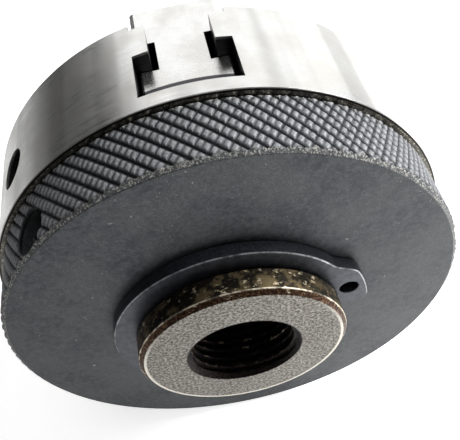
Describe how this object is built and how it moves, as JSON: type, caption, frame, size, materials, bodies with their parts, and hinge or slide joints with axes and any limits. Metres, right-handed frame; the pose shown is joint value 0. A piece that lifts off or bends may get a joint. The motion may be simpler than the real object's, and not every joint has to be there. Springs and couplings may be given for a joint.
{
  "type": "drill chuck",
  "caption": "Small self-centring scroll chuck: threaded hub, round body, knurled hand-turned ring and stepped jaws that slide in radial slots, worked with bars.",
  "frame": {"origin": "on the spin axis, in the plane of the hub's rear face, which seats on the spindle", "axes": "+Y along the spin axis from the hub to the jaws, +Z along the first jaw, +X to the right seen from the rear"},
  "size_m": [0.05, 0.0377, 0.05],
  "materials": {
    "ground_steel": "ground and turned bright steel, slightly worn, brown staining at the hub",
    "jaw_steel": "hardened and ground steel",
    "black_oxide": "matt black oxide over knurled steel, bright wear on the knurl's crests",
    "spring_steel": "blue-black phosphated spring steel"
  },
  "bodies": {
    "body": {"chuck_body": "ground_steel", "retaining_clip": "spring_steel"},
    "ring": {"scroll_ring": "black_oxide"},
    "jaw_1": {"jaw_1": "jaw_steel"},
    "jaw_2": {"jaw_2": "jaw_steel"},
    "jaw_3": {"jaw_3": "jaw_steel"}
  },
  "joints": [
    {"name": "ring_turn", "type": "hinge", "parent": "body", "child": "ring", "pos_m": [0, 0.0082, 0], "axis": [0, 1, 0], "range_deg": [-290, 720]},
    {"name": "jaw_1_slide", "type": "slide", "parent": "body", "child": "jaw_1", "axis": [0, 0, 1], "range_m": [-0.00243, 0.00602]},
    {"name": "jaw_2_slide", "type": "slide", "parent": "body", "child": "jaw_2", "axis": [0.866, 0, -0.5], "range_m": [-0.00243, 0.00602]},
    {"name": "jaw_3_slide", "type": "slide", "parent": "body", "child": "jaw_3", "axis": [-0.866, 0, -0.5], "range_m": [-0.00243, 0.00602]}
  ],
  "couplings": [
    {"joint": "jaw_1_slide", "follows": "ring_turn", "m_per_rad": 0.00047746},
    {"joint": "jaw_2_slide", "follows": "ring_turn", "m_per_rad": 0.00047746},
    {"joint": "jaw_3_slide", "follows": "ring_turn", "m_per_rad": 0.00047746}
  ]
}
